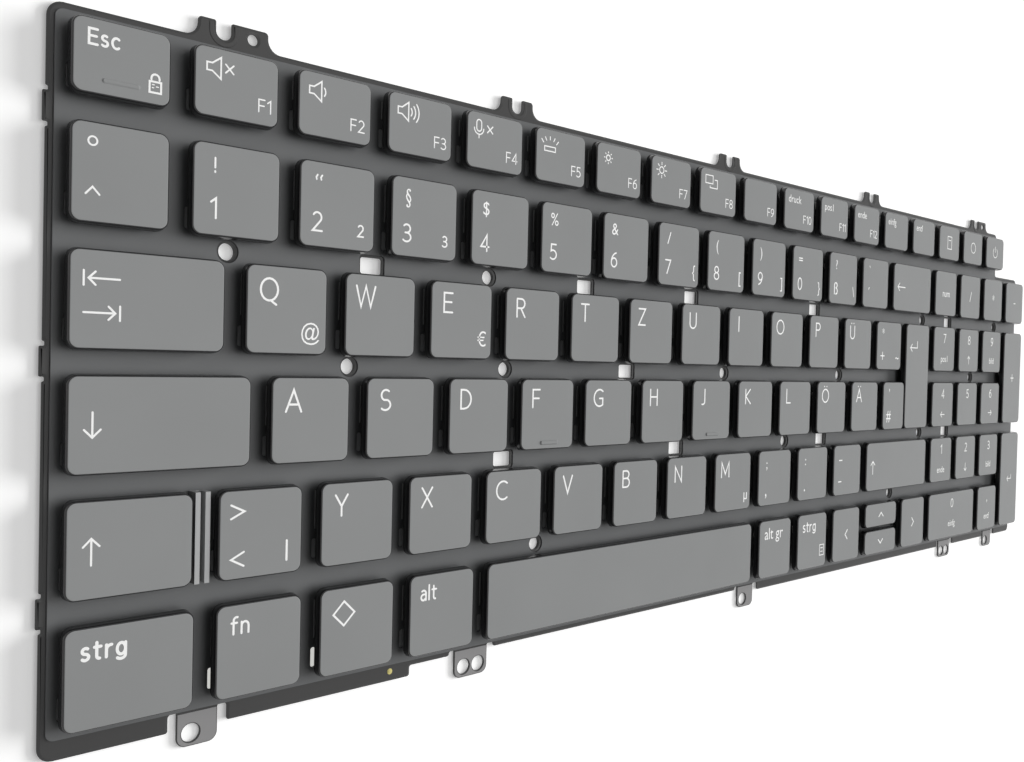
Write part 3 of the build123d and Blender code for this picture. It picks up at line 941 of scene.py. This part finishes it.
def function_sign(bm, name, top):
    """Signs and words of the function row."""
    if name == "escape":
        add_words(bm, top, "Esc", "escape")
        add_line(bm, top, ((10.8, 7.3), (12.5, 7.3), (12.5, 8.9), (10.8, 8.9)), stroke, True)
        add_line(bm, top, [(11.05, 7.0)] + arc(11.65, 6.8, 0.6, 180, 0) + [(12.25, 7.0)], stroke)
        for x, y, far in ((11.2, 7.75, 11.5), (11.2, 8.2, 11.4), (11.8, 8.0, 12.1)):
            add_line(bm, top, ((x, y), (far, y)), 0.16)
    elif name in ("f1", "f2", "f3"):
        speaker(bm, top)
        waves(bm, top, {"f1": 0, "f2": 1, "f3": 3}[name])
        if name == "f1":
            cross(bm, top, 5.6, 2.95)
    elif name == "f4":
        add_line(bm, top, arc(2.85, 2.1, 0.6, 0, 180) + arc(2.85, 3.1, 0.6, 180, 360), fine_line, True)
        add_line(bm, top, arc(2.85, 3.15, 1.15, 180, 360), fine_line)
        add_line(bm, top, ((2.85, 4.35), (2.85, 4.95)), fine_line)
        cross(bm, top, 5.55, 3.0)
    elif name == "f5":
        add_line(bm, top, ((2.3, 3.6), (5.3, 3.6), (5.3, 4.5), (2.3, 4.5)), fine_line, True)
        rays = ((2.0, 2.9, -0.5), (2.8, 2.4, -0.3), (3.8, 2.2, 0.0), (4.8, 2.4, 0.3), (5.6, 2.9, 0.5))
        for x, y, lean in rays:
            add_line(bm, top, ((x, y), (x + lean, y - 0.6)), fine_line)
    elif name in ("f6", "f7"):
        small_sun(bm, top, *{"f6": (0.6, 1.25), "f7": (0.75, 1.75)}[name])
    elif name == "f8":
        add_line(bm, top, ((1.9, 1.7), (4.7, 1.7), (4.7, 3.6), (1.9, 3.6)), fine_line, True)
        add_line(bm, top, ((5.4, 2.6), (6.4, 2.6), (6.4, 4.6), (3.6, 4.6), (3.6, 4.2)), fine_line)
    elif name == "top_1":
        add_line(bm, top, ((5.6, 3.2), (8.4, 3.2), (8.4, 7.2), (5.6, 7.2)), icon_line, True)
        add_line(bm, top, ((6.3, 4.4), (7.7, 4.4)), icon_line)
    elif name == "top_2":
        add_line(bm, top, arc(7.0, 5.2, 1.7, 0, 345, 23), icon_line, True)
    elif name == "top_3":
        add_line(bm, top, arc(7.0, 5.2, 1.7, 130, 410, 18), icon_line)
        add_line(bm, top, ((7.0, 3.1), (7.0, 5.0)), icon_line)
    if name in function_words:
        add_words(bm, top, function_words[name], "function_word")
    if name.startswith("f"):
        add_words(bm, top, name.upper(), "function")


pad_words = {
    "pad_7": "pos1", "pad_9": "bild", "pad_1": "ende", "pad_3": "bild", "pad_0": "einfg",
    "pad_comma": "entf",
}
pad_arrows = {"pad_8": (0, -1), "pad_2": (0, 1), "pad_4": (-1, 0), "pad_6": (1, 0)}


def pad_sign(bm, name, top):
    """Digits, words and arrows of the number pad, set in the middle of each key."""
    digit = name[-1] if name[-1].isdigit() else {"pad_comma": ","}.get(name)
    if digit:
        add_words(bm, top, digit, "pad")
    if name in pad_words:
        add_words(bm, top, pad_words[name], "pad_word")
    middle = top.width / 2 / mm
    if name in pad_arrows:
        way = Vector(pad_arrows[name])
        at = Vector((middle, 10.4))
        add_arrow(bm, top, at - way * 1.3, at + way * 1.3, 0.85, icon_line)
    if name == "num_lock":
        add_words(bm, top, "num", "centre_word")
    if name in ("divide", "multiply", "subtract"):
        add_words(bm, top, {"divide": "/", "multiply": "*", "subtract": "-"}[name], "centre")
    if name in ("pad_plus", "pad_enter"):
        at = top.depth / 2 / mm
        if name == "pad_plus":
            for x, y in ((1.2, 0), (0, 1.2)):
                add_line(bm, top, ((middle - x, at - y), (middle + x, at + y)), bold_line)
        else:
            hook = ((1.8, -1.4), (1.8, 0), (-1.4, 0))
            head = ((-0.7, -0.9), (-1.6, 0), (-0.7, 0.9))
            for path in (hook, head):
                add_line(bm, top, [(middle + x, at + y) for x, y in path], 0.28)


number_signs = {
    "one": "!1", "two": "\"2²", "three": "§3³", "four": "$4", "five": "%5", "six": "&6",
    "seven": "/7{", "eight": "(8[", "nine": ")9]", "zero": "=0}", "sharp_s": "?ß\\", "acute": "`´",
}
pair_signs = {"plus": "*+~", "hash": "'#", "comma": ";,", "period": ":.", "minus": "_-"}
umlauts = {"o_umlaut": "Ö", "a_umlaut": "Ä", "u_umlaut": "Ü"}
third_signs = {"q": "@", "e": "€", "m": "µ"}
key_words = {
    "left_control": "strg", "fn": "fn", "left_alt": "alt", "alt_gr": "alt gr", "right_control": "strg",
}


def add_legend(bm, name):
    """Everything that is printed on one key."""
    top = tops[name]
    if name in function_names:
        function_sign(bm, name, top)
    elif name in pad_names:
        pad_sign(bm, name, top)
    elif name in number_signs or name in pair_signs:
        signs = number_signs.get(name) or pair_signs.get(name)
        add_words(bm, top, signs[0], "upper")
        add_words(bm, top, signs[1], "lower")
        if len(signs) > 2:
            third = {"²": "2", "³": "3"}.get(signs[2])
            add_words(bm, top, third or signs[2], "small" if third else "corner")
    elif name == "degree":
        add_line(bm, top, arc(2.95, 2.75, 0.62, 0, 340, 17), icon_line, True)
        add_line(bm, top, ((2.05, 10.3), (3.0, 9.25), (3.95, 10.3)), 0.28)
    elif name == "angle_bracket":
        add_line(bm, top, ((1.95, 2.35), (4.2, 3.45), (1.95, 4.55)), 0.33)
        add_line(bm, top, ((4.2, 9.95), (2.05, 11.05), (4.2, 12.2)), 0.33)
        add_line(bm, top, ((11.7, 8.9), (11.7, 12.1)), 0.38)
    elif name == "backspace":
        add_arrow(bm, top, (6.9, 7.1), (2.3, 7.1))
    elif name == "tab":
        for y, tip, tail in ((4.15, 2.65, 7.0), (9.07, 6.4, 2.0)):
            add_arrow(bm, top, (tail, y), (tip, y), 0.95)
            bar_x = 1.98 if tip < tail else 7.07
            add_line(bm, top, ((bar_x, y - 1.05), (bar_x, y + 1.05)))
    elif name == "enter":
        add_line(bm, top, ((6.9, 5.3), (6.9, 7.3), (2.6, 7.3)))
        add_line(bm, top, ((3.6, 6.2), (2.45, 7.3), (3.6, 8.4)))
    elif name == "caps_lock":
        add_arrow(bm, top, (3.46, 5.3), (3.46, 8.95))
    elif name in ("left_shift", "right_shift"):
        add_arrow(bm, top, (3.55, 9.3), (3.55, 5.45))
    elif name == "system":
        add_line(bm, top, ((4.6, 2.4), (6.7, 4.5), (4.6, 6.6), (2.5, 4.5)), bold_line, True)
    elif name.startswith("arrow_"):
        way = Vector({"left": (-1, 0), "right": (1, 0), "up": (0, -1), "down": (0, 1)}[name[6:]])
        across = Vector((-way.y, way.x))
        at = Vector((top.width, top.depth)) / 2 / mm
        tip, back = at + way * 0.6, at + way * 0.6 - way * 1.2
        add_line(bm, top, (back + across * 1.3, tip, back - across * 1.3), bold_line)
    elif name in key_words:
        add_words(bm, top, key_words[name], "word", 0.1 if name == "left_control" else 0.0)
        if name == "right_control":
            add_line(bm, top, ((10.9, 9.0), (13.0, 9.0), (13.0, 11.9), (10.9, 11.9)), 0.22, True)
            for y in (9.9, 10.9):
                add_line(bm, top, ((11.4, y), (12.5, y)), 0.2)
    elif name in umlauts or len(name) == 1:
        add_words(bm, top, umlauts.get(name) or name.upper(), "letter")
        if name in third_signs:
            add_words(bm, top, third_signs[name], "corner")


for node, names in fixed_groups.items():
    bm = bmesh.new()
    for name in names:
        add_legend(bm, name)
    piece(node.replace("keycaps", "legends"), bm, "chassis", "key_plastic", ink_white)
for name in moving_names:
    bm = bmesh.new()
    add_legend(bm, name)
    if bm.verts:
        piece(f"{name}_legend", bm, f"{name}_key", "key_plastic", ink_white)
    else:
        bm.free()


# Table top, light and camera
# A white table under the keyboard, a large soft lamp above it, low soft light from a window on
# the right that lays a shadow to the left, and a pale room all round.
def white_rays(tree):
    """1 for rays from the camera, in reflections and through clear pieces, else 0."""
    rays = tree.nodes.new("ShaderNodeLightPath")
    seen = rays.outputs["Is Camera Ray"]
    for kind in ("Is Glossy Ray", "Is Transmission Ray"):
        larger = tree.nodes.new("ShaderNodeMath")
        larger.operation = "MAXIMUM"
        tree.links.new(seen, larger.inputs[0])
        tree.links.new(rays.outputs[kind], larger.inputs[1])
        seen = larger.outputs[0]
    return seen


def pale_ground(name, colour, glow):
    """White to the camera and in reflections, and an ordinary pale surface to all other light."""
    made = bpy.data.materials.new(name)
    made.use_nodes = True
    nodes = made.node_tree.nodes
    join = made.node_tree.links.new
    nodes.remove(nodes["Principled BSDF"])
    plain = nodes.new("ShaderNodeBsdfDiffuse")
    plain.inputs["Color"].default_value = (*colour, 1)
    shine = nodes.new("ShaderNodeEmission")
    shine.inputs["Strength"].default_value = glow
    both = nodes.new("ShaderNodeAddShader")
    join(plain.outputs[0], both.inputs[0])
    join(shine.outputs[0], both.inputs[1])
    mix = nodes.new("ShaderNodeMixShader")
    join(white_rays(made.node_tree), mix.inputs[0])
    join(plain.outputs[0], mix.inputs[1])
    join(both.outputs[0], mix.inputs[2])
    join(mix.outputs[0], nodes["Material Output"].inputs["Surface"])
    return made


bm = bmesh.new()
bmesh.ops.create_grid(bm, x_segments=1, y_segments=1, size=3.0)
table_mesh = bpy.data.meshes.new("table_top")
bm.to_mesh(table_mesh)
bm.free()
table_mesh.materials.append(pale_ground("table_white", (0.85, 0.85, 0.845), 0.3))
table = bpy.data.objects.new("table_top", table_mesh)
table.location.z = -0.1 * mm
bpy.context.scene.collection.objects.link(table)

room = bpy.data.worlds.new("pale_room")
room.use_nodes = True
sky = room.node_tree.nodes["Background"]
sky.inputs["Color"].default_value = (1, 1, 1, 1)
level = room.node_tree.nodes.new("ShaderNodeMapRange")
level.inputs["To Min"].default_value = 0.15
level.inputs["To Max"].default_value = 1.0
room.node_tree.links.new(white_rays(room.node_tree), level.inputs["Value"])
room.node_tree.links.new(level.outputs["Result"], sky.inputs["Strength"])
bpy.context.scene.world = room

lamp_data = bpy.data.lights.new("soft_box", "AREA")
lamp_data.shape = "RECTANGLE"
lamp_data.size, lamp_data.size_y = 0.6, 0.5
lamp_data.energy = 1.6
soft_box = bpy.data.objects.new("soft_box", lamp_data)
soft_box.location = (0.12, 0.05, 0.62)
lit_spot = Vector((-0.05, 0.0, 0.0))
soft_box.rotation_euler = (lit_spot - soft_box.location).to_track_quat("-Z", "Y").to_euler()
bpy.context.scene.collection.objects.link(soft_box)

window_data = bpy.data.lights.new("window_light", "SUN")
window_data.energy = 3.6
window_data.angle = math.radians(30)
window_light = bpy.data.objects.new("window_light", window_data)
window_light.rotation_euler = Vector((-0.9, -0.1, -0.42)).to_track_quat("-Z", "Y").to_euler()
window_light.visible_glossy = False
bpy.context.scene.collection.objects.link(window_light)

camera_data = bpy.data.cameras.new("camera")
camera_data.sensor_width = 36
camera_data.lens = 33.332
camera_data.clip_start = 0.005
camera = bpy.data.objects.new("camera", camera_data)
right, up = (0.75606, 0.02347, 0.65323), (-0.00502, 0.99953, -0.03006)
back = (-0.65363, 0.01947, 0.75583)
stand = (-0.20479, 0.00454, 0.14630)
rows = [(*axes, place) for *axes, place in zip(right, up, back, stand)]
camera.matrix_world = Matrix(rows + [(0, 0, 0, 1)])
bpy.context.scene.collection.objects.link(camera)
bpy.context.scene.camera = camera
bpy.context.scene.view_settings.view_transform = "Standard"
